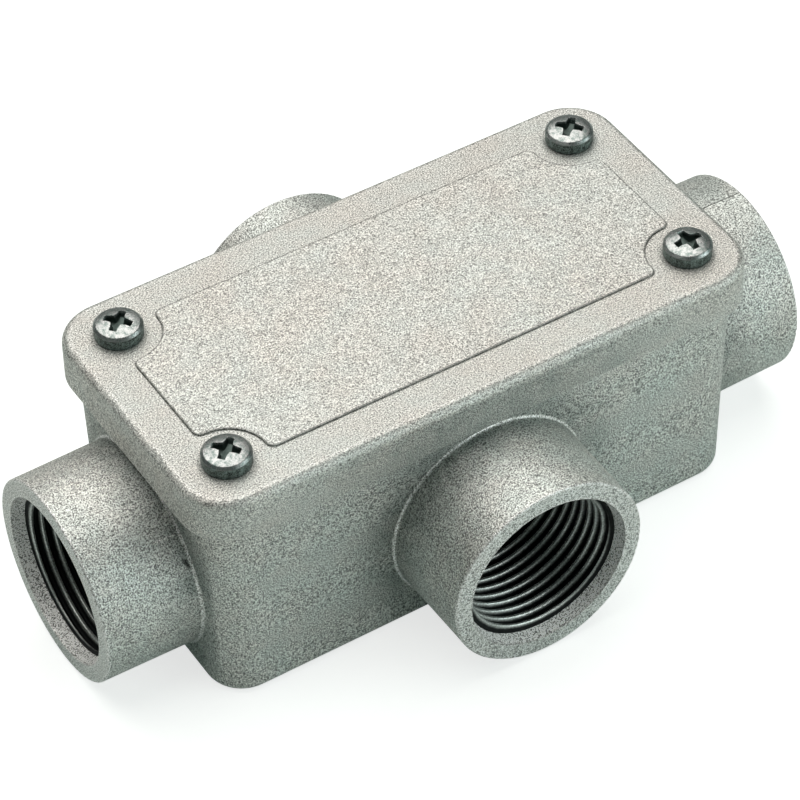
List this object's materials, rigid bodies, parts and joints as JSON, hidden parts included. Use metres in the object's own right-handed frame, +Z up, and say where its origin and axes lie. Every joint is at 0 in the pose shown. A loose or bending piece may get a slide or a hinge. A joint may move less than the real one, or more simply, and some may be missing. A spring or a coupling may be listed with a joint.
{
  "type": "junction box",
  "caption": "Cast metal conduit junction box with threaded hubs in a cross, a screwed cap lid with a raised field, a seal and an earth terminal.",
  "frame": {"origin": "middle of the flat base, on the surface that the box stands on", "axes": "+X along the two long hubs, +Y to the back hub, +Z up to the lid"},
  "size_m": [0.126, 0.0786, 0.0467],
  "materials": {
    "cast_housing": "as cast, blasted, matt grey",
    "cast_lid": "as cast, blasted, matt light grey",
    "zinc_steel": "bright zinc plating",
    "seal_rubber": "matt black rubber sheet",
    "earth_brass": "turned brass, satin"
  },
  "bodies": {
    "housing": {"housing": "cast_housing", "gasket": "seal_rubber", "earth_washer": "earth_brass", "earth_screw": "earth_brass"},
    "cover": {"lid": "cast_lid", "lid_screw_front_left": "zinc_steel", "lid_screw_front_right": "zinc_steel", "lid_screw_back_left": "zinc_steel", "lid_screw_back_right": "zinc_steel"}
  },
  "joints": [
    {"name": "cover_lift", "type": "slide", "parent": "housing", "child": "cover", "axis": [0, 0, 1], "range_m": [0, 0.03]}
  ]
}
